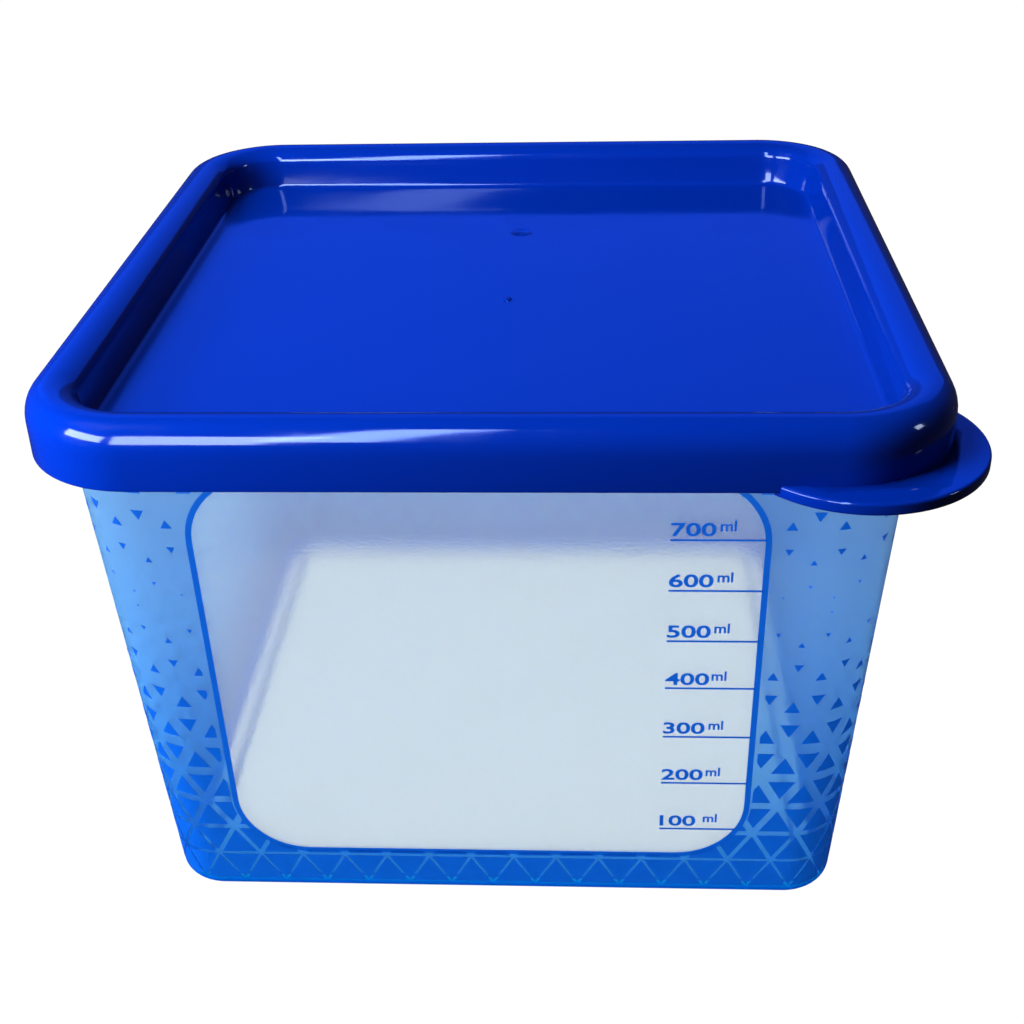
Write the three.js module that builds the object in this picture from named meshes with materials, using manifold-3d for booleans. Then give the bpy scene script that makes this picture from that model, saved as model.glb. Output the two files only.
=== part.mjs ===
// Freezer container: a square translucent tub with a press-on lid, in millimetres, +Z up.
// The front, with the clear measuring window, faces -Y. The origin is the middle of the outer box's
// bottom. The lid's corner tab moves that point a little off the tub's own upright axis.
import * as THREE from "three";
import { mergeVertices } from "three/addons/utils/BufferGeometryUtils.js";
import Module from "manifold-3d";

const wasm = await Module();
wasm.setup();

// Driving dimensions

const OVERALL_HEIGHT = 86;
const CORNER_STEPS = 7; // straight steps round each upright corner
const ARC_DIVISIONS = 2; // a quarter round in a profile gets twice as many steps
const QUARTER = Math.PI / 2;

const TUB = {
  baseHalf: 51.34, // half-width of the outer wall where it would meet the ground
  wallSlope: 0.067, // growth of the half-width for each millimetre of height, 3.8 degrees of draft
  wall: 1.1,
  cornerAtBase: 7.8,
  cornerGrowth: 0.059, // growth of the upright corners' radius for each millimetre of height
  baseRound: 1.8, // rounding of the outer bottom edge
  footWidth: 2.4, // flat ring that the tub stands on
  footStep: 1.6, // width of the slope from the foot ring up to the raised panel
  panelRaise: 2.2, // height of the panel's underside over the ground
  floor: 1.4,
  innerRound: 1.6, // rounding between the inner wall and the floor
  rimTop: 83.9,
  rimBead: 1.8, // how far the bead under the lid stands out of the wall
  rimBeadHeight: 2.2,
  rimRound: 0.5,
};

const LID = {
  half: 61.3,
  corner: 16.45, // plan radius of the skirt's upright corners
  skirtHeight: 9.15,
  crestHalf: 58, // half-width of the rim's highest line
  outerDrop: 4.2, // height of the rounding from the crest out to the skirt
  innerRun: 3.7, // width of the rounding from the crest in to the recess wall
  innerDrop: 2.6,
  recessDepth: 7,
  recessDraft: 0.9, // how much the recess wall leans in from its top to the panel
  panelRound: 0.9, // rounding between the recess wall and the panel
  wall: 1,
};

const TAB = {
  radius: 16.75,
  centre: 48.9, // distance of the disc's centre from the tub's axis along X and along -Y
  thickness: 1.75,
  rootOverlap: 0.8, // how far the disc runs into the skirt's wall
  segments: 72,
};

// The tub's axis stands off the origin by half of what the tab adds to the outer box.
const AXIS_SHIFT = (TAB.centre + TAB.radius - LID.half) / 2;

// Rounded squares and the shells lofted on them

// Points of a square with round corners, at one height, counter-clockwise seen from above.
function roundedSquare(half, radius, z) {
  const r = Math.min(radius, half);
  const points = [];
  for (let corner = 0; corner < 4; corner++) {
    const middle = QUARTER * (corner + 0.5);
    const cx = Math.sign(Math.cos(middle)) * (half - r);
    const cy = Math.sign(Math.sin(middle)) * (half - r);
    for (let step = 0; step <= CORNER_STEPS; step++) {
      const angle = QUARTER * (corner + step / CORNER_STEPS);
      points.push(
        new THREE.Vector3(cx + r * Math.cos(angle), cy + r * Math.sin(angle), z),
      );
    }
  }
  return points;
}

// A closed body on a profile of (half-width, height) points that starts and ends on the axis.
// Each inner point of the profile becomes one rounded square, and its neighbours are joined by faces.
function loft(profile, cornerAt) {
  const squares = profile
    .slice(1, -1)
    .map((p) => roundedSquare(p.x, cornerAt(p.x, p.y), p.y));
  const around = squares[0].length;
  const bottom = new THREE.Vector3(0, 0, profile[0].y);
  const top = new THREE.Vector3(0, 0, profile.at(-1).y);
  const points = [bottom, ...squares.flat(), top];
  const at = (square, step) => 1 + square * around + (step % around);
  const faces = [];
  for (let step = 0; step < around; step++) {
    faces.push(0, at(0, step + 1), at(0, step));
    for (let square = 0; square + 1 < squares.length; square++) {
      const [a, b] = [at(square, step), at(square, step + 1)];
      const [c, d] = [at(square + 1, step), at(square + 1, step + 1)];
      faces.push(a, b, d, a, d, c);
    }
    const last = squares.length - 1;
    faces.push(points.length - 1, at(last, step), at(last, step + 1));
  }
  return new THREE.BufferGeometry().setFromPoints(points).setIndex(faces);
}

// The points of a path of lines and arcs, without those that repeat the one before.
function profilePoints(path) {
  return path
    .getPoints(ARC_DIVISIONS)
    .filter((p, i, all) => i === 0 || p.distanceTo(all[i - 1]) > 1e-4);
}

// Booleans

function solidOf(geometry) {
  const bare = geometry.clone();
  bare.deleteAttribute("normal");
  bare.deleteAttribute("uv");
  const merged = mergeVertices(bare, 1e-4);
  return new wasm.Manifold(
    new wasm.Mesh({
      numProp: 3,
      vertProperties: merged.attributes.position.array,
      triVerts: new Uint32Array(merged.index.array),
    }),
  );
}

function geometryOf(solid) {
  const mesh = solid.getMesh();
  return new THREE.BufferGeometry()
    .setAttribute("position", new THREE.BufferAttribute(mesh.vertProperties, 3))
    .setIndex(new THREE.BufferAttribute(mesh.triVerts, 1));
}

// The tub

const tubHalf = (z) => TUB.baseHalf + TUB.wallSlope * z;
const tubCorner = (half, z) =>
  TUB.cornerAtBase + TUB.cornerGrowth * z - (tubHalf(z) - half);

function tubProfile() {
  const footOuter = tubHalf(TUB.baseRound) - TUB.baseRound;
  const footInner = footOuter - TUB.footWidth;
  const beadFoot = TUB.rimTop - TUB.rimBeadHeight;
  const beadHalf = tubHalf(TUB.rimTop) + TUB.rimBead;
  const mouthHalf = tubHalf(TUB.rimTop) - TUB.wall;
  const panelTop = TUB.panelRaise + TUB.floor;
  const floorHeight = TUB.floor + TUB.innerRound;
  const floorHalf = tubHalf(floorHeight) - TUB.wall;
  const troughInner = footInner + TUB.floor / 2;

  const path = new THREE.Path();
  path.moveTo(0, TUB.panelRaise);
  path.lineTo(footInner - TUB.footStep, TUB.panelRaise);
  path.lineTo(footInner, 0);
  path.lineTo(footOuter, 0);
  path.absarc(footOuter, TUB.baseRound, TUB.baseRound, -QUARTER, 0, false);
  path.lineTo(tubHalf(beadFoot), beadFoot);
  path.lineTo(beadHalf, beadFoot + TUB.rimRound);
  path.absarc(
    beadHalf - TUB.rimRound,
    TUB.rimTop - TUB.rimRound,
    TUB.rimRound,
    0,
    QUARTER,
    false,
  );
  path.lineTo(mouthHalf, TUB.rimTop);
  path.lineTo(floorHalf, floorHeight);
  path.absarc(
    floorHalf - TUB.innerRound,
    floorHeight,
    TUB.innerRound,
    0,
    -QUARTER,
    true,
  );
  path.lineTo(troughInner, TUB.floor);
  path.lineTo(troughInner - TUB.footStep, panelTop);
  path.lineTo(0, panelTop);
  return profilePoints(path);
}

// The lid

const lidCorner = (half) => LID.corner - (LID.half - half);

// Half of the lid's upper side and then its underside, one wall thickness below it.
function lidProfile() {
  const skirtFoot = OVERALL_HEIGHT - LID.skirtHeight;
  const outerRun = LID.half - LID.crestHalf;
  const shoulder = OVERALL_HEIGHT - LID.outerDrop;
  const recessTop = OVERALL_HEIGHT - LID.innerDrop;
  const recessHalf = LID.crestHalf - LID.innerRun;
  const panel = OVERALL_HEIGHT - LID.recessDepth;
  const panelHalf = recessHalf - LID.recessDraft;
  const t = LID.wall;

  const path = new THREE.Path();
  path.moveTo(0, panel - t);
  path.lineTo(panelHalf + t - LID.panelRound, panel - t);
  path.lineTo(panelHalf + t, panel - t + LID.panelRound);
  path.lineTo(recessHalf + t, recessTop);
  path.absellipse(
    LID.crestHalf,
    recessTop,
    LID.innerRun - t,
    LID.innerDrop - t,
    Math.PI,
    QUARTER,
    true,
  );
  path.absellipse(
    LID.crestHalf,
    shoulder,
    outerRun - t,
    LID.outerDrop - t,
    QUARTER,
    0,
    true,
  );
  path.lineTo(LID.half - t, skirtFoot);
  path.lineTo(LID.half, skirtFoot);
  path.absellipse(
    LID.crestHalf,
    shoulder,
    outerRun,
    LID.outerDrop,
    0,
    QUARTER,
    false,
  );
  path.absellipse(
    LID.crestHalf,
    recessTop,
    LID.innerRun,
    LID.innerDrop,
    QUARTER,
    Math.PI,
    false,
  );
  path.lineTo(panelHalf, panel + LID.panelRound);
  path.lineTo(panelHalf - LID.panelRound, panel);
  path.lineTo(0, panel);
  return profilePoints(path);
}

// The tab is what a flat disc at the skirt's foot leaves outside the skirt.
function tabSolid() {
  const skirtFoot = OVERALL_HEIGHT - LID.skirtHeight;
  const disc = new THREE.CylinderGeometry(
    TAB.radius,
    TAB.radius,
    TAB.thickness,
    TAB.segments,
  )
    .rotateX(QUARTER)
    .translate(TAB.centre, -TAB.centre, skirtFoot + TAB.thickness / 2);
  const insideHalf = LID.half - TAB.rootOverlap;
  const inside = [
    new THREE.Vector2(0, skirtFoot - 1),
    new THREE.Vector2(insideHalf, skirtFoot - 1),
    new THREE.Vector2(insideHalf, OVERALL_HEIGHT),
    new THREE.Vector2(0, OVERALL_HEIGHT),
  ];
  return solidOf(disc).subtract(solidOf(loft(inside, lidCorner)));
}

function lidGeometry() {
  return geometryOf(solidOf(loft(lidProfile(), lidCorner)).add(tabSolid()));
}

// Materials and scene

const frostedPlastic = new THREE.MeshStandardMaterial({
  color: "#a9c6e6",
  roughness: 0.45,
  metalness: 0,
  transparent: true,
  opacity: 0.55,
});
const bluePlastic = new THREE.MeshStandardMaterial({
  color: "#0339c4",
  roughness: 0.18,
  metalness: 0,
});

function part(name, geometry, material) {
  const mesh = new THREE.Mesh(geometry, material);
  mesh.name = name;
  return mesh;
}

const container = new THREE.Group();
container.position.set(-AXIS_SHIFT, AXIS_SHIFT, 0);
container.add(part("tub", loft(tubProfile(), tubCorner), frostedPlastic));
container.add(part("lid", lidGeometry(), bluePlastic));

const model = new THREE.Group();
model.add(container);
export default model;
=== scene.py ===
"""Freezer container: a frosted tub with printed walls, a clear measuring window and a press-on lid.

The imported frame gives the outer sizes. Everything is in metres, +Z up, and the window faces -Y.
"""

import math

import bmesh
import bpy
from mathutils import Matrix, Vector


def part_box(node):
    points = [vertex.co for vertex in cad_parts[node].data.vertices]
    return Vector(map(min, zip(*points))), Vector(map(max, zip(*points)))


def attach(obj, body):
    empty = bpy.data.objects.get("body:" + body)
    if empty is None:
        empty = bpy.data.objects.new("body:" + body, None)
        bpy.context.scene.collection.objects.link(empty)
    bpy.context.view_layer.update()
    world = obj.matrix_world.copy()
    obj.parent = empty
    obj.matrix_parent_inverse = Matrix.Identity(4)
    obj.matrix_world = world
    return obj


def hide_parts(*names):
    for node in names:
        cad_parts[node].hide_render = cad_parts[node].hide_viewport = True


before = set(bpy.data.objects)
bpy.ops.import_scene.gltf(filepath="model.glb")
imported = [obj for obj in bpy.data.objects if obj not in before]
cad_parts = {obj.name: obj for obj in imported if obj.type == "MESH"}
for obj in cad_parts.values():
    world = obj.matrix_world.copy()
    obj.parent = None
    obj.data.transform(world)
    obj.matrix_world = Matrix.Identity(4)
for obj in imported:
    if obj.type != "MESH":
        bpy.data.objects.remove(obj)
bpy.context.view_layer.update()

MM = 0.001
QUARTER = math.pi / 2

# Outer sizes, read from the frame

tub_low, tub_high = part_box("tub")
lid_low, lid_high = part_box("lid")
AXIS = Vector(((tub_low.x + tub_high.x) / 2, (tub_low.y + tub_high.y) / 2, 0))
LID_HALF = AXIS.x - lid_low.x
LID_TOP = lid_high.z
SKIRT_FOOT = lid_low.z
RIM_TOP = tub_high.z
TAB_REACH = lid_high.x - AXIS.x

# Steps of the smooth shells

CORNER_STEPS = 24  # round each upright corner
SIDE_STEPS = 6  # along each straight side
ARC_STEP = math.radians(9)
LATHE_STEPS = 96
OUTLINE_STEPS = 12  # round each corner of the window
SHELL_CREASE = 50  # edges that turn by more than this many degrees stay sharp on the shells
FLAT_CREASE = 30  # and on the ink and the floor
WELD_REACH = 0.001 * MM

# The tub's own sizes

BASE_HALF = 51.34 * MM  # half-width of the outer wall where it would meet the ground
WALL_SLOPE = 0.067  # growth of the half-width with height
TUB_WALL = 1.1 * MM
CORNER_AT_BASE = 7.8 * MM  # radius of the upright corners where they would meet the ground
CORNER_GROWTH = 0.059  # growth of that radius with height
BASE_ROUND = 1.8 * MM  # rounding of the outer bottom edge
FOOT_WIDTH = 2.4 * MM  # flat ring that the tub stands on
FOOT_STEP = 1.6 * MM  # width of the slope from the foot ring up to the raised panel
FOOT_ROUND = 0.6 * MM  # inner edge of the foot ring
PANEL_RAISE = 2.2 * MM  # height of the panel's underside over the ground
FLOOR_WALL = 1.4 * MM
FLOOR_RUN = 2 * MM  # flat stretch of the panel kept beside a rounding
SLOPE_ROUND = 0.8 * MM  # rounding between the slope and the panel, on both sides
TROUGH_ROUND = 0.5 * MM  # foot of the slope on the inside
INNER_ROUND = 1.6 * MM  # rounding between the inner wall and the floor
RIM_BEAD = 1.8 * MM  # how far the bead under the lid stands out of the wall
RIM_BEAD_HEIGHT = 2.2 * MM
RIM_ROUND = 0.5 * MM
BEAD_ROUND = 0.4 * MM  # the bead's lower edges and the mouth's edge

# The lid's own sizes

LID_CORNER = 16.45 * MM  # plan radius of the skirt's upright corners
CREST_HALF = 58 * MM  # half-width of the rim's highest line
OUTER_DROP = 4.2 * MM  # height of the rounding from the crest out to the skirt
INNER_RUN = 3.7 * MM  # width of the rounding from the crest in to the recess wall
INNER_DROP = 2.6 * MM
RECESS_DEPTH = 7 * MM
RECESS_DRAFT = 0.9 * MM  # how much the recess wall leans in from its top to the panel
PANEL_ROUND = 0.9 * MM  # rounding between the recess wall and the panel
PANEL_RUN = 4 * MM  # flat stretch of the panel kept beside that rounding
LID_WALL = 1 * MM
LIP_ROUND = 0.3 * MM

TAB_RADIUS = 16.75 * MM
TAB_THICKNESS = 1.75 * MM
TAB_ROUND = 0.4 * MM
TAB_ROOT = 0.8 * MM  # how far the tab's disc runs into the skirt's wall
TAB_DROOP = Vector((-0.4, 0, -0.65)) * MM  # how far use has bent the tab from its moulded place

# The moulding tool's marks on the lid's panel, with their places measured from the tub's axis

GATE_PLACE = Vector((0.7, -3.3, 0)) * MM
GATE_RADIUS = 0.7 * MM
GATE_HEIGHT = 0.4 * MM
GATE_OUTLINE = [(3, 0), (1.6, 0), (1, 0.1), (0.75, 0.8), (0.35, 1)]  # shares of the two above
GATE_ZONE = 4 * GATE_RADIUS  # the panel's rings are circles inside it
EJECTOR_PLACE = Vector((1.7, 27.9, 0)) * MM
EJECTOR_RADIUS = 2.3 * MM
EJECTOR_DEPTH = 0.25 * MM

# The print on the walls

INNER_TINT = 0.3  # how much of the outside print's colour shows in the wall's inner side
INK_THICKNESS = 0.06 * MM
INK_SUNK = 0.02 * MM  # how far the ink's back lies in the wall
PRINT_COLUMNS = 62  # tiles round the tub, so that the pattern closes
COLUMN_PITCH = 6.513 * MM  # on the straight stretch of a wall
COLUMN_SHIFT = 2.2 * MM  # from the front's middle to a tile of the lowest row that points up
PITCH_HEIGHT = 7.5 * MM  # height at which the columns have that pitch
PITCH_GROWTH = 0.00081 / MM  # share by which the pitch grows for each metre of height
ROW_HEIGHT = 5.7 * MM
LARGEST_TILE = 0.885  # side of the largest tile, as a share of one that fills its place
SMALLEST_TILE = 0.03  # smaller ones are left out

# Tiles vanish at the fade height, and grow away from it by this share for each metre.
LOWER_ROWS = {
    "Rows": 10,
    "First Row": 1.8 * MM,
    "Fade Height": 57.9 * MM,
    "Fade Slope": -0.0171 / MM,
}
UPPER_ROWS = {
    "Rows": 4,
    "First Row": 55.55 * MM,
    "Fade Height": 54.0 * MM,
    "Fade Slope": 0.0155 / MM,
}

WINDOW_LEFT = -38.95 * MM
WINDOW_RIGHT = 36.65 * MM
WINDOW_FOOT = 8.95 * MM
WINDOW_TOP = 76.2 * MM
WINDOW_CORNER = 10 * MM
BORDER_WIDTH = 0.85 * MM


# Rounded profiles and the shells lofted on them


def arc(centre, radii, start, end):
    """Points of an elliptic arc in the profile's plane, from one angle to the other."""
    steps = max(2, round(abs(end - start) / ARC_STEP))
    angles = [start + (end - start) * i / steps for i in range(steps + 1)]
    return [
        (centre[0] + radii[0] * math.cos(a), centre[1] + radii[1] * math.sin(a))
        for a in angles
    ]


def fillet(before, corner, after, radius):
    """The points of a round that takes the place of a corner between two straight stretches."""
    corner = Vector(corner)
    into = (Vector(before) - corner).normalized()
    out = (Vector(after) - corner).normalized()
    half_angle = into.angle(out) / 2
    reach = radius / math.tan(half_angle)
    first = corner + into * reach
    last = corner + out * reach
    centre = corner + (into + out).normalized() * (radius / math.sin(half_angle))
    turn = (first - centre).angle_signed(last - centre)
    steps = max(2, round(abs(turn) / (2 * ARC_STEP)))
    return [
        tuple(centre + Matrix.Rotation(-turn * i / steps, 2) @ (first - centre))
        for i in range(steps + 1)
    ]


def round_corners(points, radii):
    """A profile in which each corner named in radii, by its place in the list, is rounded."""
    made = []
    for i, point in enumerate(points):
        if i in radii:
            made += fillet(points[i - 1], point, points[i + 1], radii[i])
        else:
            made.append(point)
    return made


def rounded_square(half, radius, z):
    """Points of a square with round corners about the tub's axis, counter-clockwise from above."""
    flat = half - radius
    ring = []
    for corner in range(4):
        turn = Matrix.Rotation(QUARTER * corner, 3, "Z")
        for step in range(CORNER_STEPS + 1):
            angle = QUARTER * step / CORNER_STEPS
            ring.append(
                turn
                @ Vector(
                    (flat + radius * math.cos(angle), flat + radius * math.sin(angle), z)
                )
            )
        for step in range(1, SIDE_STEPS):
            along = flat - 2 * flat * step / SIDE_STEPS
            ring.append(turn @ Vector((along, half, z)))
    return [point + AXIS for point in ring]


def mesh_piece(name, points, faces, sharp_degrees=None):
    """A new object at the origin with this mesh, smooth except over edges sharper than the angle."""
    mesh = bpy.data.meshes.new(name)
    mesh.from_pydata(points, [], faces)
    mesh.validate()
    mesh.shade_smooth()
    if sharp_degrees is not None:
        mesh.set_sharp_from_angle(angle=math.radians(sharp_degrees))
    piece = bpy.data.objects.new(name, mesh)
    bpy.context.scene.collection.objects.link(piece)
    return piece


def loft(name, profile, corner_at):
    """A closed shell on a profile of (half-width, height) points that starts and ends over the axis."""
    rings = [rounded_square(half, corner_at(half, z), z) for half, z in profile]
    around = len(rings[0])
    points = [point for ring in rings for point in ring]
    faces = [tuple(reversed(range(around)))]
    for ring in range(len(rings) - 1):
        for step in range(around):
            after = (step + 1) % around
            low = ring * around
            high = low + around
            faces.append((low + step, low + after, high + after, high + step))
    last = (len(rings) - 1) * around
    faces.append(tuple(range(last, last + around)))
    return mesh_piece(name, points, faces, SHELL_CREASE)


# The tub


def tub_half(z):
    return BASE_HALF + WALL_SLOPE * z


def tub_corner(half, z):
    return CORNER_AT_BASE + CORNER_GROWTH * z - (tub_half(z) - half)


def tub_profile():
    """The underside, the outer wall up to the bead, then the inner wall down to the floor."""
    foot_outer = tub_half(BASE_ROUND) - BASE_ROUND
    foot_inner = foot_outer - FOOT_WIDTH
    bead_foot = RIM_TOP - RIM_BEAD_HEIGHT
    bead_half = tub_half(RIM_TOP) + RIM_BEAD
    mouth_half = tub_half(RIM_TOP) - TUB_WALL
    panel_top = PANEL_RAISE + FLOOR_WALL
    floor_height = FLOOR_WALL + INNER_ROUND
    floor_half = tub_half(floor_height) - TUB_WALL
    trough_inner = foot_inner + FLOOR_WALL / 2

    underside = round_corners(
        [
            (foot_inner - FOOT_STEP - FLOOR_RUN, PANEL_RAISE),
            (foot_inner - FOOT_STEP, PANEL_RAISE),
            (foot_inner, 0),
            (foot_outer, 0),
        ],
        {1: SLOPE_ROUND, 2: FOOT_ROUND},
    )
    base_edge = arc((foot_outer, BASE_ROUND), (BASE_ROUND, BASE_ROUND), -QUARTER, 0)
    bead = round_corners(
        [
            base_edge[-1],
            (tub_half(bead_foot), bead_foot),
            (bead_half, bead_foot + RIM_ROUND),
            (bead_half, RIM_TOP),
            (mouth_half, RIM_TOP),
            (floor_half, floor_height),
        ],
        {1: BEAD_ROUND, 2: BEAD_ROUND, 3: RIM_ROUND, 4: BEAD_ROUND},
    )
    inner_edge = arc(
        (floor_half - INNER_ROUND, floor_height), (INNER_ROUND, INNER_ROUND), 0, -QUARTER
    )
    floor = round_corners(
        [
            inner_edge[-1],
            (trough_inner, FLOOR_WALL),
            (trough_inner - FOOT_STEP, panel_top),
            (trough_inner - FOOT_STEP - FLOOR_RUN, panel_top),
        ],
        {1: TROUGH_ROUND, 2: SLOPE_ROUND},
    )
    return underside + base_edge[1:-1] + bead[:-1] + inner_edge + floor[1:]


def make_tub():
    """The shell, with an attribute that says how much of the outside print shows at each point."""
    profile = tub_profile()
    tub = loft("tub_shell", profile, tub_corner)
    around = len(tub.data.vertices) // len(profile)
    printed = tub.data.attributes.new("printed", "FLOAT", "POINT")
    for ring, (half, z) in enumerate(profile):
        mark = 0.0
        if half > tub_half(z) - BASE_ROUND and half > BASE_HALF - BASE_ROUND:
            mark = INNER_TINT if is_inner(profile, ring) else 1.0
        for step in range(around):
            printed.data[ring * around + step].value = mark
    return tub


def is_inner(profile, ring):
    """Whether the profile has turned in over the rim before this ring."""
    return max(z for _, z in profile[: ring + 1]) >= RIM_TOP


# The lid


def lid_corner(half, z):
    """The radius of a ring's corners, which makes it a circle where it lies near the gate mark."""
    if half < GATE_ZONE:
        return half
    return LID_CORNER - (LID_HALF - half)


def lid_profile():
    """The underside out to the skirt's foot, then the upper side back in to the gate mark."""
    outer_run = LID_HALF - CREST_HALF
    shoulder = LID_TOP - OUTER_DROP
    recess_top = LID_TOP - INNER_DROP
    recess_half = CREST_HALF - INNER_RUN
    panel = LID_TOP - RECESS_DEPTH
    panel_half = recess_half - RECESS_DRAFT
    t = LID_WALL

    crest_below = (
        (CREST_HALF, recess_top),
        (INNER_RUN - t, INNER_DROP - t),
        math.pi,
        QUARTER,
    )
    shoulder_below = (
        (CREST_HALF, shoulder),
        (outer_run - t, OUTER_DROP - t),
        QUARTER,
        0,
    )
    below = (
        round_corners(
            [
                (panel_half + t - PANEL_RUN, panel - t),
                (panel_half + t, panel - t),
                (recess_half + t, recess_top),
            ],
            {1: PANEL_ROUND},
        )
        + arc(*crest_below)[1:]
        + arc(*shoulder_below)[1:]
    )
    lip = round_corners(
        [
            below[-1],
            (LID_HALF - t, SKIRT_FOOT),
            (LID_HALF, SKIRT_FOOT),
            (LID_HALF, shoulder),
        ],
        {1: LIP_ROUND, 2: LIP_ROUND},
    )
    above = (
        arc((CREST_HALF, shoulder), (outer_run, OUTER_DROP), 0, QUARTER)
        + arc((CREST_HALF, recess_top), (INNER_RUN, INNER_DROP), QUARTER, math.pi)[1:]
    )
    panel_edge = round_corners(
        [above[-1], (panel_half, panel), (panel_half - PANEL_RUN, panel)],
        {1: PANEL_ROUND},
    )
    gate = [(out * GATE_RADIUS, panel + up * GATE_HEIGHT) for out, up in GATE_OUTLINE]
    return below + lip[1:-1] + above + panel_edge[1:] + gate


def lathe(name, profile, centre):
    """A closed body turned about an upright line through centre, on (radius, height) points."""
    steps = LATHE_STEPS
    points = []
    for radius, z in profile:
        for step in range(steps):
            angle = 2 * math.pi * step / steps
            points.append(
                centre + Vector((radius * math.cos(angle), radius * math.sin(angle), z))
            )
    faces = [tuple(reversed(range(steps)))]
    for ring in range(len(profile) - 1):
        for step in range(steps):
            after = (step + 1) % steps
            low = ring * steps
            faces.append(
                (low + step, low + after, low + steps + after, low + steps + step)
            )
    last = (len(profile) - 1) * steps
    faces.append(tuple(range(last, last + steps)))
    return mesh_piece(name, points, faces, SHELL_CREASE)


def cut_away(piece, other):
    """Cuts the other body away from the piece, and removes the other."""
    modifier = piece.modifiers.new("cut", "BOOLEAN")
    modifier.operation = "DIFFERENCE"
    modifier.object = other
    modifier.solver = "MANIFOLD"
    finish_mesh(piece)
    bpy.data.objects.remove(other)


def finish_mesh(piece):
    """Puts the modifiers' result in the piece's mesh and removes them."""
    bpy.context.view_layer.update()
    evaluated = piece.evaluated_get(bpy.context.evaluated_depsgraph_get())
    made = bpy.data.meshes.new_from_object(evaluated)
    piece.modifiers.clear()
    piece.data = made


def make_tab():
    """The part of a flat round-edged disc that lies outside the skirt."""
    r = TAB_ROUND
    centre = AXIS + Vector((TAB_REACH - TAB_RADIUS, TAB_RADIUS - TAB_REACH, SKIRT_FOOT))
    profile = (
        [(TAB_RADIUS - 2 * r, 0)]
        + arc((TAB_RADIUS - r, r), (r, r), -QUARTER, 0)
        + arc((TAB_RADIUS - r, TAB_THICKNESS - r), (r, r), 0, QUARTER)
        + [(TAB_RADIUS - 2 * r, TAB_THICKNESS)]
    )
    tab = lathe("lid_tab", profile, centre)
    inner_half = LID_HALF - TAB_ROOT
    inside = loft(
        "skirt_inside",
        [(inner_half, SKIRT_FOOT - 2 * MM), (inner_half, LID_TOP)],
        lid_corner,
    )
    cut_away(tab, inside)
    tab.data.transform(Matrix.Translation(TAB_DROOP))
    return tab


def make_lid():
    """The lid without its tab, with the gate mark moved to its place."""
    lid = loft("lid_moulding", lid_profile(), lid_corner)
    for vertex in lid.data.vertices:
        if (vertex.co - AXIS).xy.length < GATE_ZONE:
            vertex.co += GATE_PLACE
    return lid


# Flat artwork, laid on the wall


def side_reach(z):
    """Half of the straight stretch of the wall at a height, and the corner's radius there."""
    radius = CORNER_AT_BASE + CORNER_GROWTH * z
    return tub_half(z) - radius, radius


def perimeter(z):
    flat, radius = side_reach(z)
    return 8 * flat + 2 * math.pi * radius


MEAN_PITCH = perimeter(PITCH_HEIGHT) / PRINT_COLUMNS


def wall_point(along, z, out):
    """The point of the outer wall that lies this far round from the middle of the front.

    along counts in columns of the mean pitch. On the straight stretch a column has its own pitch,
    which grows a little with height, and the corner takes up the rest.
    """
    side_length = PRINT_COLUMNS * MEAN_PITCH / 4
    side = math.floor(along / side_length + 0.5)
    local = along - side * side_length
    distance = abs(local)
    flat, radius = side_reach(z)
    flat_there, _ = side_reach(PITCH_HEIGHT)
    growth = COLUMN_PITCH / MEAN_PITCH * (1 + PITCH_GROWTH * (z - PITCH_HEIGHT))
    diagonal = flat + radius * QUARTER / 2
    if distance < flat_there:
        reach = distance * growth
    else:
        share = (distance - flat_there) / (side_length / 2 - flat_there)
        reach = flat_there * growth + share * (diagonal - flat_there * growth)
    if reach < flat:
        x = reach
        y = -(tub_half(z) + out)
    else:
        angle = (reach - flat) / radius
        x = flat + (radius + out) * math.sin(angle)
        y = -(flat + (radius + out) * math.cos(angle))
    point = Vector((math.copysign(x, local), y, z))
    return AXIS + Matrix.Rotation(QUARTER * side, 3, "Z") @ point


def lay_on_wall(piece, place):
    """Moves flat artwork, drawn in X and Y with its thickness along Z, onto the wall."""
    for vertex in piece.data.vertices:
        x, y, thickness = vertex.co
        vertex.co = place(x, y, thickness - INK_SUNK)
    piece.data.update()
    return piece


def front_point(x, z, out):
    return AXIS + Vector((x, -(tub_half(z) + out), z))


def rounded_rectangle(left, right, foot, top, radius):
    """Points of a rectangle with round corners, counter-clockwise."""
    centres = [
        (right - radius, top - radius),
        (left + radius, top - radius),
        (left + radius, foot + radius),
        (right - radius, foot + radius),
    ]
    points = []
    for corner, (cx, cy) in enumerate(centres):
        for step in range(OUTLINE_STEPS + 1):
            angle = QUARTER * (corner + step / OUTLINE_STEPS)
            points.append((cx + radius * math.cos(angle), cy + radius * math.sin(angle)))
    return points


def window_outline(grow):
    return rounded_rectangle(
        WINDOW_LEFT - grow,
        WINDOW_RIGHT + grow,
        WINDOW_FOOT - grow,
        WINDOW_TOP + grow,
        WINDOW_CORNER + grow,
    )


def band(name, inner, outer):
    """A flat closed band of ink between two outlines with the same number of points."""
    count = len(inner)
    levels = [(inner, 0), (outer, 0), (outer, INK_THICKNESS), (inner, INK_THICKNESS)]
    points = [(x, y, z) for outline, z in levels for x, y in outline]
    faces = []
    for level in range(4):
        following = (level + 1) % 4
        for step in range(count):
            after = (step + 1) % count
            faces.append(
                (
                    level * count + step,
                    level * count + after,
                    following * count + after,
                    following * count + step,
                )
            )
    return mesh_piece(name, points, faces, FLAT_CREASE)


def make_border():
    border = band("print_border", window_outline(0), window_outline(BORDER_WIDTH))
    return lay_on_wall(border, front_point)


# The measuring scale

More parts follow.
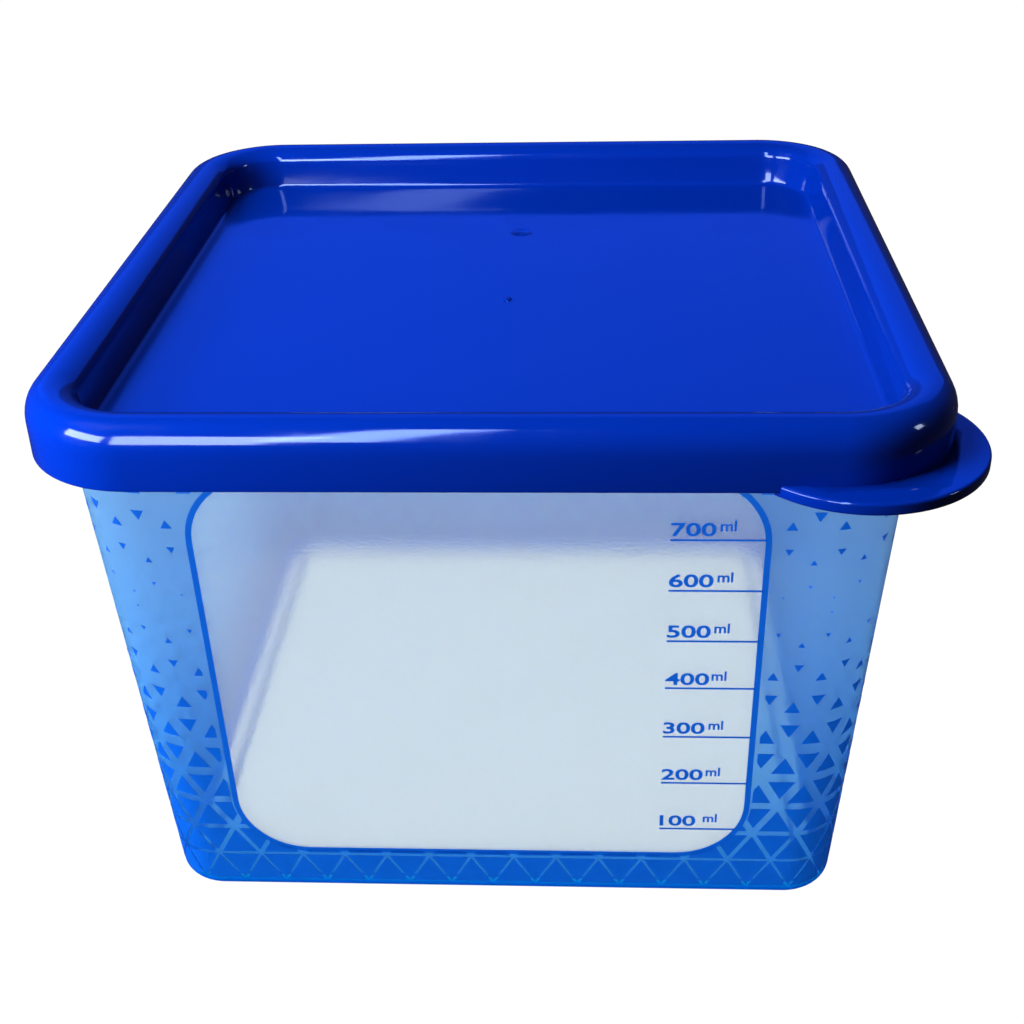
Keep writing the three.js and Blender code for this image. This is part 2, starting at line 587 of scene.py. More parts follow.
SCALE_HEIGHTS = [14.05, 23.45, 32.5, 41.6, 50.0, 58.6, 66.85]  # of 100 to 700 ml, in mm
SCALE_LEFT = 24.3 * MM
LINE_WIDTH = 0.3 * MM
DIGIT_HEIGHT = 2.15 * MM
DIGIT_STRETCH = 1.4
STROKE_GROWTH = 0.02  # added on each side of a stroke, as a share of the type size
TYPE_CURVE_STEPS = 6
TEXT_RISE = 0.6 * MM
UNIT_HEIGHT = 1.65 * MM
UNIT_LEFT = 30.7 * MM
UNIT_RISE = 1.45 * MM


def window_side(z):
    """Where the window's right edge lies at a height."""
    above_foot = z - WINDOW_FOOT
    if above_foot >= WINDOW_CORNER:
        return WINDOW_RIGHT
    drop = WINDOW_CORNER - above_foot
    return (
        WINDOW_RIGHT
        - WINDOW_CORNER
        + math.sqrt(max(0, WINDOW_CORNER**2 - drop**2))
    )


def make_line(number, z):
    """One line of the scale, from the digits to the window's border, which it runs into."""
    right = window_side(z) + BORDER_WIDTH / 4
    low = z - LINE_WIDTH / 2
    high = z + LINE_WIDTH / 2
    corners = [(SCALE_LEFT, low), (right, low), (right, high), (SCALE_LEFT, high)]
    points = [(x, y, level) for level in (0, INK_THICKNESS) for x, y in corners]
    faces = [(3, 2, 1, 0), (4, 5, 6, 7)]
    for step in range(4):
        after = (step + 1) % 4
        faces.append((step, after, after + 4, step + 4))
    return mesh_piece(f"scale_line_{number}", points, faces, FLAT_CREASE)


def make_text(name, words, height, left, foot, stretch):
    """Words as a flat closed mesh with their lower left corner at (left, foot)."""
    curve = bpy.data.curves.new(name, "FONT")
    curve.body = words
    curve.extrude = INK_THICKNESS / 2
    curve.resolution_u = TYPE_CURVE_STEPS
    curve.offset = STROKE_GROWTH
    text = bpy.data.objects.new(name, curve)
    bpy.context.scene.collection.objects.link(text)
    bpy.context.view_layer.update()
    mesh = bpy.data.meshes.new_from_object(
        text.evaluated_get(bpy.context.evaluated_depsgraph_get())
    )
    bpy.data.objects.remove(text)
    piece = bpy.data.objects.new(name, mesh)
    bpy.context.scene.collection.objects.link(piece)
    low_x = min(v.co.x for v in mesh.vertices)
    low_y = min(v.co.y for v in mesh.vertices)
    high_y = max(v.co.y for v in mesh.vertices)
    size = height / (high_y - low_y)
    for v in mesh.vertices:
        v.co = (
            left + (v.co.x - low_x) * size * stretch,
            foot + (v.co.y - low_y) * size,
            v.co.z + INK_THICKNESS / 2,
        )
    weld(mesh)
    return piece


def weld(mesh):
    """Merges the points that lie on each other, so that the mesh is closed."""
    shape = bmesh.new()
    shape.from_mesh(mesh)
    bmesh.ops.remove_doubles(shape, verts=shape.verts, dist=WELD_REACH)
    shape.to_mesh(mesh)
    shape.free()


def make_scale():
    """The scale's lines, numbers and units, laid on the wall as one piece."""
    pieces = []
    for step, height in enumerate(SCALE_HEIGHTS, start=1):
        z = height * MM
        number = 100 * step
        pieces.append(make_line(number, z))
        pieces.append(
            make_text(
                f"scale_digits_{number}",
                str(number),
                DIGIT_HEIGHT,
                SCALE_LEFT,
                z + TEXT_RISE,
                DIGIT_STRETCH,
            )
        )
        pieces.append(
            make_text(
                f"scale_unit_{number}",
                "ml",
                UNIT_HEIGHT,
                UNIT_LEFT,
                z + UNIT_RISE,
                1,
            )
        )
    for piece in pieces:
        lay_on_wall(piece, front_point)
    return join(pieces, "print_scale")


def join(pieces, name):
    """One piece with the meshes of several."""
    with bpy.context.temp_override(
        active_object=pieces[0], selected_editable_objects=pieces
    ):
        bpy.ops.object.join()
    pieces[0].name = name
    pieces[0].data.name = name
    return pieces[0]


# The printed tiles, laid out flat by Geometry Nodes


def add_node(tree, kind, inputs=(), **settings):
    """Adds a node with its settings, and sets its inputs or links them to sockets."""
    made = tree.nodes.new(kind)
    for name, value in settings.items():
        setattr(made, name, value)
    for key, value in dict(inputs).items():
        if isinstance(key, int):
            socket = made.inputs[key]
        else:
            socket = next(
                s for s in made.inputs if s.name == key and not s.is_unavailable
            )
        if isinstance(value, bpy.types.NodeSocket):
            tree.links.new(value, socket)
        else:
            socket.default_value = value
    return made


TILE_INPUTS = {
    "Columns": "NodeSocketInt",
    "Rows": "NodeSocketInt",
    "Pitch": "NodeSocketFloat",
    "Row Height": "NodeSocketFloat",
    "First Row": "NodeSocketFloat",
    "Shift": "NodeSocketFloat",
    "Fade Height": "NodeSocketFloat",
    "Fade Slope": "NodeSocketFloat",
    "Largest Share": "NodeSocketFloat",
    "Smallest Share": "NodeSocketFloat",
    "Thickness": "NodeSocketFloat",
    "Window Plug": "NodeSocketObject",
    "Ink": "NodeSocketMaterial",
}


def closed_plate(tree, flat, thickness):
    """Adds the nodes that give a flat mesh a front, an edge and a back."""
    raised = add_node(
        tree,
        "GeometryNodeExtrudeMesh",
        {
            "Mesh": flat,
            "Offset": (0, 0, 1),
            "Offset Scale": thickness,
            "Individual": False,
        },
    ).outputs[0]
    back = add_node(tree, "GeometryNodeFlipFaces", {"Mesh": flat}).outputs[0]
    both = add_node(tree, "GeometryNodeJoinGeometry")
    tree.links.new(raised, both.inputs[0])
    tree.links.new(back, both.inputs[0])
    return add_node(
        tree,
        "GeometryNodeMergeByDistance",
        {"Geometry": both.outputs[0], "Distance": WELD_REACH},
    ).outputs[0]


def tile_tree():
    """Rows of triangles that point up and down in turn, shrink to specks and stay out of the window."""
    tree = bpy.data.node_groups.new("printed_tiles", "GeometryNodeTree")
    for name, kind in TILE_INPUTS.items():
        tree.interface.new_socket(name, in_out="INPUT", socket_type=kind)
    tree.interface.new_socket(
        "Geometry", in_out="OUTPUT", socket_type="NodeSocketGeometry"
    )
    given = tree.nodes.new("NodeGroupInput").outputs

    index = add_node(tree, "GeometryNodeInputIndex").outputs[0]
    per_row = add_node(
        tree, "ShaderNodeMath", {0: given["Columns"], 1: 2.0}, operation="MULTIPLY"
    ).outputs[0]
    count = add_node(
        tree, "ShaderNodeMath", {0: per_row, 1: given["Rows"]}, operation="MULTIPLY"
    ).outputs[0]
    rows_before = add_node(
        tree, "ShaderNodeMath", {0: index, 1: per_row}, operation="DIVIDE"
    ).outputs[0]
    row = add_node(tree, "ShaderNodeMath", {0: rows_before}, operation="FLOOR").outputs[0]
    place = add_node(
        tree, "ShaderNodeMath", {0: index, 1: per_row}, operation="MODULO"
    ).outputs[0]
    place_and_row = add_node(
        tree, "ShaderNodeMath", {0: place, 1: row}, operation="ADD"
    ).outputs[0]
    flip = add_node(
        tree, "ShaderNodeMath", {0: place_and_row, 1: 2.0}, operation="MODULO"
    ).outputs[0]

    # Tiles stand half a pitch apart. One that points down has its middle a third of a row higher.
    half_pitch = add_node(
        tree, "ShaderNodeMath", {0: given["Pitch"], 1: 0.5}, operation="MULTIPLY"
    ).outputs[0]
    x = add_node(
        tree,
        "ShaderNodeMath",
        {0: place, 1: half_pitch, 2: given["Shift"]},
        operation="MULTIPLY_ADD",
    ).outputs[0]
    middle = add_node(
        tree, "ShaderNodeMath", {0: flip, 1: 1 / 3, 2: 1 / 3}, operation="MULTIPLY_ADD"
    ).outputs[0]
    row_middle = add_node(
        tree, "ShaderNodeMath", {0: row, 1: middle}, operation="ADD"
    ).outputs[0]
    y = add_node(
        tree,
        "ShaderNodeMath",
        {0: row_middle, 1: given["Row Height"], 2: given["First Row"]},
        operation="MULTIPLY_ADD",
    ).outputs[0]
    over_fade = add_node(
        tree, "ShaderNodeMath", {0: y, 1: given["Fade Height"]}, operation="SUBTRACT"
    ).outputs[0]
    faded = add_node(
        tree, "ShaderNodeMath", {0: over_fade, 1: given["Fade Slope"]}, operation="MULTIPLY"
    ).outputs[0]
    share = add_node(
        tree, "ShaderNodeMath", {0: faded, 1: given["Largest Share"]}, operation="MINIMUM"
    ).outputs[0]
    too_small = add_node(
        tree, "ShaderNodeMath", {0: share, 1: given["Smallest Share"]}, operation="LESS_THAN"
    ).outputs[0]
    position = add_node(tree, "ShaderNodeCombineXYZ", {0: x, 1: y}).outputs[0]
    points = add_node(
        tree, "GeometryNodePoints", {"Count": count, "Position": position}
    ).outputs[0]
    large_enough = add_node(
        tree,
        "GeometryNodeDeleteGeometry",
        {"Geometry": points, "Selection": too_small},
        domain="POINT",
    ).outputs[0]

    # A circle of three points, turned to stand on one side, is 1.732 wide and 1.5 high.
    circle = add_node(
        tree, "GeometryNodeMeshCircle", {"Vertices": 3, "Radius": 1.0}, fill_type="NGON"
    ).outputs[0]
    upright = add_node(
        tree,
        "GeometryNodeTransform",
        {"Geometry": circle, "Rotation": (0, 0, QUARTER)},
    ).outputs[0]
    wide = add_node(
        tree, "ShaderNodeMath", {0: given["Pitch"], 1: math.sqrt(3)}, operation="DIVIDE"
    ).outputs[0]
    high = add_node(
        tree, "ShaderNodeMath", {0: given["Row Height"], 1: 1.5}, operation="DIVIDE"
    ).outputs[0]
    size = add_node(tree, "ShaderNodeCombineXYZ", {0: wide, 1: high, 2: 1.0}).outputs[0]
    flat_tile = add_node(
        tree, "GeometryNodeTransform", {"Geometry": upright, "Scale": size}
    ).outputs[0]
    tile = closed_plate(tree, flat_tile, given["Thickness"])
    half_turn = add_node(
        tree, "ShaderNodeMath", {0: flip, 1: math.pi}, operation="MULTIPLY"
    ).outputs[0]
    turn = add_node(tree, "ShaderNodeCombineXYZ", {2: half_turn}).outputs[0]
    scale = add_node(
        tree, "ShaderNodeCombineXYZ", {0: share, 1: share, 2: 1.0}
    ).outputs[0]
    placed = add_node(
        tree,
        "GeometryNodeInstanceOnPoints",
        {"Points": large_enough, "Instance": tile, "Rotation": turn, "Scale": scale},
    ).outputs[0]
    plates = add_node(tree, "GeometryNodeRealizeInstances", {"Geometry": placed}).outputs[0]
    plug = add_node(
        tree, "GeometryNodeObjectInfo", {"Object": given["Window Plug"]}
    ).outputs["Geometry"]
    clipped = add_node(
        tree,
        "GeometryNodeMeshBoolean",
        {"Mesh 1": plates, "Mesh 2": plug},
        operation="DIFFERENCE",
        solver="EXACT",
    ).outputs[0]

    # Only the fronts stay. They are split, so that they can bend, and get a back again.
    normal = add_node(tree, "GeometryNodeInputNormal").outputs[0]
    normal_up = add_node(tree, "ShaderNodeSeparateXYZ", {0: normal}).outputs[2]
    not_front = add_node(
        tree, "ShaderNodeMath", {0: normal_up, 1: 0.5}, operation="LESS_THAN"
    ).outputs[0]
    fronts = add_node(
        tree,
        "GeometryNodeDeleteGeometry",
        {"Geometry": clipped, "Selection": not_front},
        domain="FACE",
    ).outputs[0]
    down = add_node(
        tree, "ShaderNodeMath", {0: given["Thickness"], 1: -1.0}, operation="MULTIPLY"
    ).outputs[0]
    drop = add_node(tree, "ShaderNodeCombineXYZ", {2: down}).outputs[0]
    lowered = add_node(
        tree, "GeometryNodeTransform", {"Geometry": fronts, "Translation": drop}
    ).outputs[0]
    split = add_node(
        tree, "GeometryNodeSubdivideMesh", {"Mesh": lowered, "Level": 2}
    ).outputs[0]
    closed = closed_plate(tree, split, given["Thickness"])
    real = add_node(tree, "GeometryNodeRealizeInstances", {"Geometry": closed}).outputs[0]
    inked = add_node(
        tree, "GeometryNodeSetMaterial", {"Geometry": real, "Material": given["Ink"]}
    ).outputs[0]
    output = tree.nodes.new("NodeGroupOutput")
    tree.links.new(inked, output.inputs[0])
    return tree


def make_tiles(name, tree, values):
    """Runs the tile tree with these inputs and lays its flat mesh round the tub."""
    piece = mesh_piece(name, [(0, 0, 0)], [])
    modifier = piece.modifiers.new("tiles", "NODES")
    modifier.node_group = tree
    for item in tree.interface.items_tree:
        if item.in_out == "INPUT":
            modifier[item.identifier] = values[item.name]
    finish_mesh(piece)
    return lay_on_wall(piece, wall_point)


def window_plug():
    """A closed body that takes the tiles out of the window and its border."""
    outline = window_outline(BORDER_WIDTH / 2)
    count = len(outline)
    points = [(x, y, z) for z in (-MM, MM) for x, y in outline]
    faces = [tuple(reversed(range(count))), tuple(range(count, 2 * count))]
    for step in range(count):
        after = (step + 1) % count
        faces.append((step, after, after + count, step + count))
    return mesh_piece("window_plug", points, faces)


def make_print(ink):
    """The two sets of tiles: the lower ones shrink with height, and the upper ones grow again."""
    tree = tile_tree()
    plug = window_plug()
    shared = {
        "Columns": PRINT_COLUMNS,
        "Pitch": MEAN_PITCH,
        "Row Height": ROW_HEIGHT,
        "Largest Share": LARGEST_TILE,
        "Smallest Share": SMALLEST_TILE,
        "Thickness": INK_THICKNESS,
        "Window Plug": plug,
        "Ink": ink,
    }
    half_way = PRINT_COLUMNS * MEAN_PITCH / 2
    lower_shift = {"Shift": COLUMN_SHIFT - half_way}
    upper_shift = {"Shift": COLUMN_SHIFT - MEAN_PITCH / 2 - half_way}
    lower = make_tiles("print_tiles_lower", tree, shared | LOWER_ROWS | lower_shift)
    upper = make_tiles("print_tiles_upper", tree, shared | UPPER_ROWS | upper_shift)
    bpy.data.objects.remove(plug)
    return [lower, upper]


# Materials

SHRINK_WAVE = 14 * MM  # from one high spot of the lid's faint waves to the next
SHRINK_DEPTH = 0.05 * MM
WEAR_PATCH = 9 * MM  # size of the patches that use has left less glossy
ETCH_GRAIN = 0.5 * MM  # a spark-eroded tool leaves finer grain, drawn as coarse as it needs to show
ETCH_DEPTH = 0.02 * MM

LID_BLUE = "#002080"
LID_GLINT = "#c4d8ff"
LID_ROUGHNESS_FRESH = 0.06
LID_ROUGHNESS_WORN = 0.13

INK_PATCH = 3 * MM  # size of the patches where the ink lies thicker
INK_THROUGH = 0.3  # share of the light that comes through the ink
INK_DEEP = "#0060d2"
INK_LIGHT = "#086ee4"

TUB_IOR = 1.2  # polypropylene has 1.49, but a wall this thin hardly bends what is seen through it
BARE_HAZE = 0.2  # share of the light that the bare wall's milky haze catches
INKED_HAZE = 0.42
FOOT_HAZE = 0.5  # what the thicker foot adds
HAZE_THROUGH = 0.4  # share of the haze's light that goes on through the wall

FROSTED_WHITE = "#f0f6f8"
GROUND_INK = [  # shares of the tub's height
    (0.0, "#0054d8"),
    (0.03, "#006ee6"),
    (0.13, "#1e8af0"),
    (0.3, "#50a4ee"),
    (0.6, "#7cb6ee"),
    (1.0, "#9cc4ec"),
]


def linear(code):
    """An sRGB hex colour as linear red, green, blue and alpha."""
    values = [int(code[i : i + 2], 16) / 255 for i in (1, 3, 5)]
    return tuple(
        v / 12.92 if v <= 0.04045 else ((v + 0.055) / 1.055) ** 2.4 for v in values
    ) + (1.0,)


def new_material(name):
    material = bpy.data.materials.new(name)
    material.use_nodes = True
    material.node_tree.nodes.clear()
    return material, material.node_tree


def lid_material():
    """Polyethylene moulded in a polished tool, mass-coloured blue: deep colour, wet-looking gloss.

    The surface isn't quite flat, because the plastic shrank unevenly in the mould, so reflections
    waver a little, and an ejector pin has left a shallow round mark on the panel. Use has left it a
    touch less glossy in patches.
    """
    material, tree = new_material("gloss_polyethylene_blue")
    place = add_node(tree, "ShaderNodeTexCoord").outputs["Object"]
    shrinkage = add_node(
        tree,
        "ShaderNodeTexNoise",
        {"Vector": place, "Scale": 1 / SHRINK_WAVE, "Detail": 1.0, "Roughness": 0.4},
    ).outputs[0]
    ejector = AXIS + EJECTOR_PLACE + Vector((0, 0, LID_TOP - RECESS_DEPTH))
    from_ejector = add_node(
        tree, "ShaderNodeVectorMath", {0: place, 1: ejector}, operation="DISTANCE"
    ).outputs["Value"]
    dent = add_node(
        tree,
        "ShaderNodeMapRange",
        {
            "Value": from_ejector,
            "From Min": 0.0,
            "From Max": EJECTOR_RADIUS,
            "To Min": 0.0,
            "To Max": EJECTOR_DEPTH,
        },
        interpolation_type="SMOOTHSTEP",
    ).outputs[0]
    height = add_node(
        tree,
        "ShaderNodeMath",
        {0: shrinkage, 1: SHRINK_DEPTH, 2: dent},
        operation="MULTIPLY_ADD",
    ).outputs[0]
    waver = add_node(
        tree, "ShaderNodeBump", {"Height": height, "Distance": 1.0, "Strength": 1.0}
    ).outputs[0]
    wear = add_node(
        tree,
        "ShaderNodeTexNoise",
        {"Vector": place, "Scale": 1 / WEAR_PATCH, "Detail": 4.0, "Roughness": 0.65},
    ).outputs[0]
    gloss = add_node(
        tree,
        "ShaderNodeMapRange",
        {
            "Value": wear,
            "From Min": 0.35,
            "From Max": 0.75,
            "To Min": LID_ROUGHNESS_FRESH,
            "To Max": LID_ROUGHNESS_WORN,
        },
    ).outputs[0]
    shader = add_node(
        tree,
        "ShaderNodeBsdfPrincipled",
        {
            "Base Color": linear(LID_BLUE),
            "Roughness": gloss,
            "IOR": 1.51,
            "Specular IOR Level": 0.35,
            "Specular Tint": linear(LID_GLINT),
            "Normal": waver,
        },
    )
    add_node(tree, "ShaderNodeOutputMaterial", {"Surface": shader.outputs[0]})
    return material


def unprinted(tree, place):
    """Adds the nodes that tell whether a point of the front wall lies inside the clear window.

    The window is a rectangle of points that lie within its corner radius of a smaller one.
    """
    middle_x = (WINDOW_LEFT + WINDOW_RIGHT) / 2 + AXIS.x
    middle_z = (WINDOW_FOOT + WINDOW_TOP) / 2
    half_x = (WINDOW_RIGHT - WINDOW_LEFT) / 2 - WINDOW_CORNER
    half_z = (WINDOW_TOP - WINDOW_FOOT) / 2 - WINDOW_CORNER
    upright = add_node(
        tree, "ShaderNodeVectorMath", {0: place, 1: (1, 0, 1)}, operation="MULTIPLY"
    ).outputs[0]
    offset = add_node(
        tree,
        "ShaderNodeVectorMath",
        {0: upright, 1: (middle_x, 0, middle_z)},
        operation="SUBTRACT",
    ).outputs[0]
    to_one_side = add_node(
        tree, "ShaderNodeVectorMath", {0: offset}, operation="ABSOLUTE"
    ).outputs[0]
    beyond = add_node(
        tree,
        "ShaderNodeVectorMath",
        {0: to_one_side, 1: (half_x, 0, half_z)},
        operation="SUBTRACT",
    ).outputs[0]
    outside = add_node(
        tree, "ShaderNodeVectorMath", {0: beyond, 1: (0, 0, 0)}, operation="MAXIMUM"
    ).outputs[0]
    distance = add_node(
        tree, "ShaderNodeVectorMath", {0: outside}, operation="LENGTH"
    ).outputs["Value"]
    in_outline = add_node(
        tree,
        "ShaderNodeMath",
        {0: distance, 1: WINDOW_CORNER + BORDER_WIDTH / 2},
        operation="LESS_THAN",
    ).outputs[0]
    depth = add_node(tree, "ShaderNodeSeparateXYZ", {0: place}).outputs[1]
    on_front = add_node(
        tree,
        "ShaderNodeMath",
        {0: depth, 1: AXIS.y - BASE_HALF + 2 * BASE_ROUND},
        operation="LESS_THAN",
    ).outputs[0]
    return add_node(
        tree, "ShaderNodeMath", {0: in_outline, 1: on_front}, operation="MULTIPLY"
    ).outputs[0]


def tub_material():
    """Polypropylene moulded in an etched tool: see-through with a milky veil, tinted by the print.

    The blue ground of the print is a see-through ink on the outer wall, strong at the foot and
    pale at the rim, and the window has none.
    """
    material, tree = new_material("frosted_polypropylene")
    place = add_node(tree, "ShaderNodeTexCoord").outputs["Object"]
    outer = add_node(
        tree, "ShaderNodeAttribute", attribute_name="printed"
    ).outputs["Fac"]
    clear_window = unprinted(tree, place)
    inked = add_node(
        tree,
        "ShaderNodeMath",
        {0: outer, 1: clear_window},
        operation="SUBTRACT",
        use_clamp=True,
    ).outputs[0]
    height = add_node(tree, "ShaderNodeSeparateXYZ", {0: place}).outputs[2]
    ramp = add_node(
        tree,
        "ShaderNodeMapRange",
        {"Value": height, "From Min": 0.0, "From Max": RIM_TOP, "To Min": 0.0, "To Max": 1.0},
    ).outputs[0]
    ground = add_node(tree, "ShaderNodeValToRGB", {0: ramp})
    stops = ground.color_ramp.elements
    stops.remove(stops[1])
    for share, code in GROUND_INK:
        stop = stops.new(share) if share > 0 else stops[0]
        stop.color = linear(code)
    tint = add_node(
        tree,
        "ShaderNodeMix",
        {"Factor": inked, "A": linear(FROSTED_WHITE), "B": ground.outputs[0]},
        data_type="RGBA",
    ).outputs["Result"]

    grain = add_node(
        tree,
        "ShaderNodeTexNoise",
        {"Vector": place, "Scale": 1 / ETCH_GRAIN, "Detail": 2.0},
    ).outputs[0]
    etched = add_node(
        tree,
        "ShaderNodeBump",
        {"Height": grain, "Distance": ETCH_DEPTH, "Strength": 1.0},
    ).outputs[0]
    clear = add_node(
        tree,
        "ShaderNodeBsdfPrincipled",
        {
            "Base Color": tint,
            "Roughness": 0.13,
            "IOR": TUB_IOR,
            "Transmission Weight": 1.0,
            "Specular IOR Level": 0.3,
            "Normal": etched,
        },
    )
    back = add_node(tree, "ShaderNodeBsdfDiffuse", {"Color": tint, "Normal": etched})
    through = add_node(tree, "ShaderNodeBsdfTranslucent", {"Color": tint})
    veil = add_node(
        tree,
        "ShaderNodeMixShader",
        {0: HAZE_THROUGH, 1: back.outputs[0], 2: through.outputs[0]},
    )
    haze = add_node(
        tree,
        "ShaderNodeMapRange",
        {"Value": inked, "To Min": BARE_HAZE, "To Max": INKED_HAZE},
    ).outputs[0]
    solid_foot = add_node(
        tree,
        "ShaderNodeMapRange",
        {
            "Value": height,
            "From Min": 1.1 * BASE_ROUND,
            "From Max": 0.9 * BASE_ROUND,
            "To Min": 0.0,
            "To Max": FOOT_HAZE,
        },
    ).outputs[0]
    milkiness = add_node(
        tree, "ShaderNodeMath", {0: outer, 1: solid_foot, 2: haze}, operation="MULTIPLY_ADD"
    ).outputs[0]
    mixed = add_node(
        tree,
        "ShaderNodeMixShader",
        {0: milkiness, 1: clear.outputs[0], 2: veil.outputs[0]},
    )
    add_node(tree, "ShaderNodeOutputMaterial", {"Surface": mixed.outputs[0]})
    return material


def ink_material():
    """Screen-printed ink: flat and a little glossy, and some light comes through it from behind."""
    material, tree = new_material("screen_print_ink_blue")
    place = add_node(tree, "ShaderNodeTexCoord").outputs["Object"]
    coverage = add_node(
        tree,
        "ShaderNodeTexNoise",
        {"Vector": place, "Scale": 1 / INK_PATCH, "Detail": 3.0, "Roughness": 0.6},
    ).outputs[0]
    ink = add_node(
        tree,
        "ShaderNodeMix",
        {"Factor": coverage, "A": linear(INK_DEEP), "B": linear(INK_LIGHT)},
        data_type="RGBA",
    ).outputs["Result"]
    front = add_node(
        tree,
        "ShaderNodeBsdfPrincipled",
        {"Base Color": ink, "Roughness": 0.4, "Specular IOR Level": 0.25},
    )
    through = add_node(tree, "ShaderNodeBsdfTranslucent", {"Color": ink})
    mixed = add_node(
        tree,
        "ShaderNodeMixShader",
        {0: INK_THROUGH, 1: front.outputs[0], 2: through.outputs[0]},
    )
    add_node(tree, "ShaderNodeOutputMaterial", {"Surface": mixed.outputs[0]})
    return material


def floor_material():
    """Opal acrylic lit from behind, as in a light tent: an even white without shadows."""
    material, tree = new_material("lit_opal_acrylic")
    glow = add_node(
        tree, "ShaderNodeEmission", {"Color": linear("#ffffff"), "Strength": FLOOR_GLOW}
    )
    add_node(tree, "ShaderNodeOutputMaterial", {"Surface": glow.outputs[0]})
    return material


# Camera, floor and light

CAMERA_PLACE = Vector((0.01394, -0.22294, 0.16856))  # from the tub's axis
CAMERA_YAW = -0.0611  # in radians, as the next two
CAMERA_PITCH = 0.5275
CAMERA_ROLL = -0.0281
CAMERA_LENS = 52.55  # in mm, as the sensor
CAMERA_SENSOR = 36
CAMERA_NEAR = 0.01
STUDIO_HALF = 3.0  # half-width of the floor, in metres
FLOOR_GLOW = 1.03
SKY_GLOW = 0.03


def place_camera():
    """Looks down at the tub's front from its right, slightly rolled."""
    forward = Vector(
        (
            math.sin(CAMERA_YAW) * math.cos(CAMERA_PITCH),
            math.cos(CAMERA_YAW) * math.cos(CAMERA_PITCH),
            -math.sin(CAMERA_PITCH),
        )
    )
    level = Vector((math.cos(CAMERA_YAW), -math.sin(CAMERA_YAW), 0))
    upward = level.cross(forward)
    right = math.cos(CAMERA_ROLL) * level + math.sin(CAMERA_ROLL) * upward
    up = right.cross(forward)
    data = bpy.data.cameras.new("photo_camera")
    data.lens = CAMERA_LENS
    data.sensor_width = CAMERA_SENSOR
    data.clip_start = CAMERA_NEAR
    camera = bpy.data.objects.new("photo_camera", data)
    bpy.context.scene.collection.objects.link(camera)
    turn = Matrix((right, up, -forward)).transposed()
    camera.matrix_world = Matrix.Translation(AXIS + CAMERA_PLACE) @ turn.to_4x4()
    bpy.context.scene.camera = camera


def sky_point(azimuth, elevation, distance):
    """A point seen from the lid's middle at this azimuth, clockwise from +Y, and elevation."""
    azimuth = math.radians(azimuth)
    elevation = math.radians(elevation)
    level = distance * math.cos(elevation)
    return AXIS + Vector(
        (
            level * math.sin(azimuth),
            level * math.cos(azimuth),
            LID_TOP + distance * math.sin(elevation),
        )
    )


def place_light(name, azimuth, elevation, distance, size, radiance, mirrored, colour):
    """A rectangular light aimed at the lid, which shows in gloss alone if it is mirrored.

    Any other shows in everything but the gloss.
    """
    data = bpy.data.lights.new(name, "AREA")
    data.shape = "RECTANGLE"
    data.size, data.size_y = size
    data.energy = radiance * size[0] * size[1] * math.pi
    data.color = linear(colour)[:3]
    light = bpy.data.objects.new(name, data)
    bpy.context.scene.collection.objects.link(light)
    light.location = sky_point(azimuth, elevation, distance)
    aim = sky_point(0, 0, 0) - light.location
    light.rotation_euler = aim.to_track_quat("-Z", "Y").to_euler()
    light.visible_glossy = mirrored
    light.visible_diffuse = not mirrored
    return light


# Azimuth, elevation, distance, width and height, radiance, whether the gloss mirrors it, and colour.
LID_LIGHTS = {
    "softbox_left": (-112, 50, 0.6, (0.3, 0.3), 25, False, "#ffffff"),
    "fill_left_front": (-126, 10, 0.25, (0.1, 0.1), 44, False, "#eef0ff"),
    "fill_right_behind": (50, -6, 0.6, (0.3, 0.2), 13, False, "#ffffff"),
    "sky_behind": (-4, 31, 1.0, (1.6, 0.5), 1.9, True, "#1450ff"),
    "window_left": (-128, 21, 1.0, (0.58, 0.3), 34, True, "#eef4ff"),
    "window_left_front": (-160, 22, 1.0, (0.22, 0.42), 28, True, "#eef4ff"),
    "window_front": (-168.6, 40, 1.0, (0.092, 0.8), 32, True, "#c8dcff"),
    "window_right": (102, 17, 1.0, (0.12, 0.16), 15, True, "#ffffff"),
}

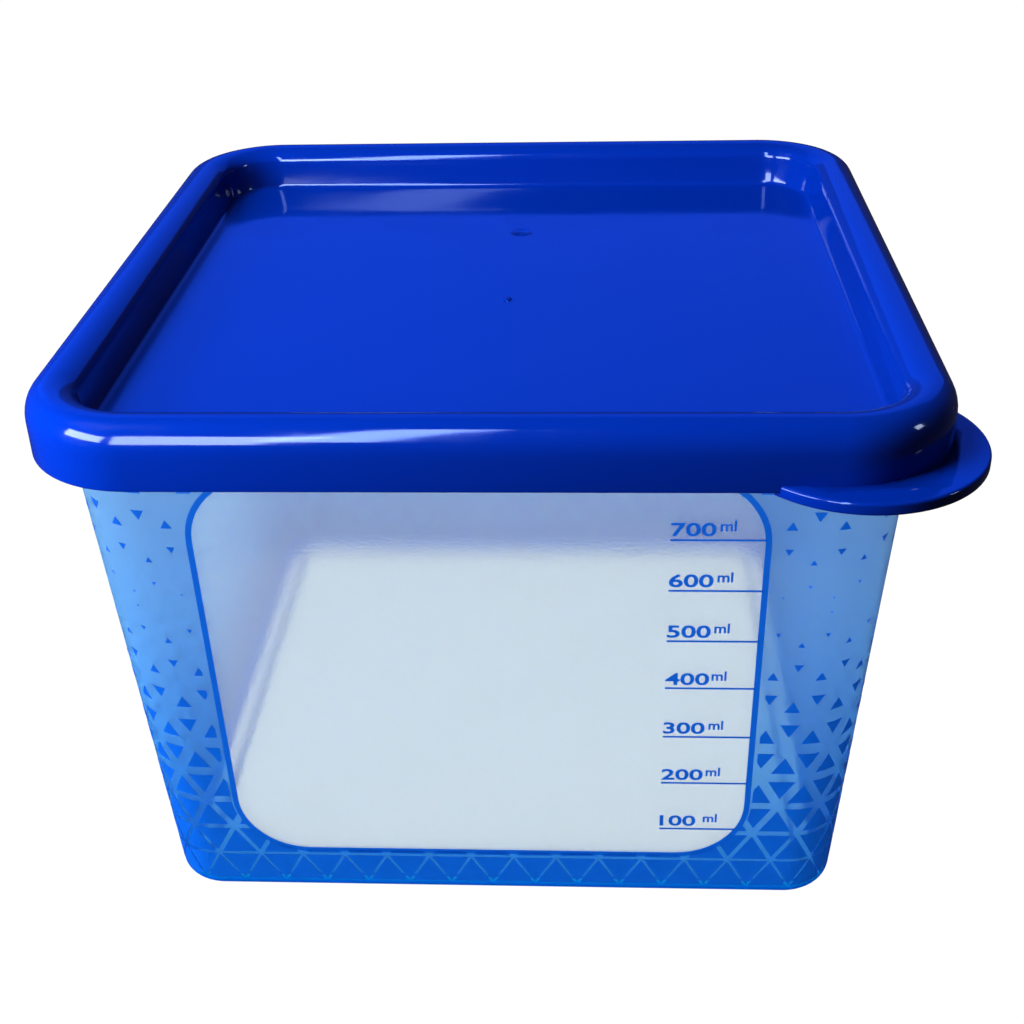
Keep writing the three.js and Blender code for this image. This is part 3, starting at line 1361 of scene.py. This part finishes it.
# Low softboxes round the tub, which light its see-through walls and leave the lid alone.
TUB_LIGHTS = {
    "tub_front": (-175, -2, 0.8, (0.8, 0.5), 4.4, False, "#ffffff"),
    "tub_front_left": (-134, 4, 0.4, (0.22, 0.22), 3.5, False, "#ffffff"),
    "tub_left": (-95, -2, 0.8, (0.8, 0.5), 12.0, False, "#a8e4f8"),
    "tub_right": (90, -2, 0.8, (0.8, 0.5), 1.5, False, "#ffffff"),
    "tub_back": (5, -2, 0.8, (0.8, 0.5), 11.0, False, "#98ecf4"),
    "tub_window_left": (-130, 16, 1.0, (0.46, 0.18), 10, True, "#ffffff"),
}


def light_only(name, settings, pieces):
    """Adds a light that only these pieces receive."""
    light = place_light(name, *settings)
    receivers = bpy.data.collections.new(name + "_receivers")
    for piece in pieces:
        receivers.objects.link(piece)
    light.light_linking.receiver_collection = receivers


def make_studio():
    """A lit floor with lit walls round it, open at the top, under a dim sky."""
    size = STUDIO_HALF
    corners = [(-size, -size), (size, -size), (size, size), (-size, size)]
    floor = mesh_piece(
        "studio_floor",
        [(x, y, z) for z in (0, 2 * size) for x, y in corners],
        [(0, 1, 2, 3), (1, 0, 4, 5), (2, 1, 5, 6), (3, 2, 6, 7), (0, 3, 7, 4)],
        FLAT_CREASE,
    )
    floor.data.materials.append(floor_material())
    floor.visible_glossy = False
    floor.visible_diffuse = False
    world = bpy.data.worlds.new("studio")
    bpy.context.scene.world = world
    world.use_nodes = True
    world.node_tree.nodes.clear()
    back = add_node(
        world.node_tree,
        "ShaderNodeBackground",
        {"Color": linear("#ffffff"), "Strength": SKY_GLOW},
    )
    add_node(world.node_tree, "ShaderNodeOutputWorld", {"Surface": back.outputs[0]})
    bpy.context.scene.view_settings.view_transform = "Standard"


# The whole

place_camera()
make_studio()

blue_plastic = lid_material()
frosted = tub_material()
blue_ink = ink_material()

tub = make_tub()
tub.data.materials.append(frosted)
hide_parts("tub")
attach(tub, "root")

lid_pieces = [make_lid(), make_tab()]
for name, settings in LID_LIGHTS.items():
    light_only(name, settings, lid_pieces)
for lid_piece in lid_pieces:
    lid_piece.data.materials.clear()
    lid_piece.data.materials.append(blue_plastic)
    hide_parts("lid")
    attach(lid_piece, "root")

print_pieces = [make_border(), make_scale(), *make_print(blue_ink)]
for name, settings in TUB_LIGHTS.items():
    light_only(name, settings, [tub, *print_pieces])
for printed in print_pieces:
    printed.data.materials.clear()
    printed.data.materials.append(blue_ink)
    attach(printed, "root")
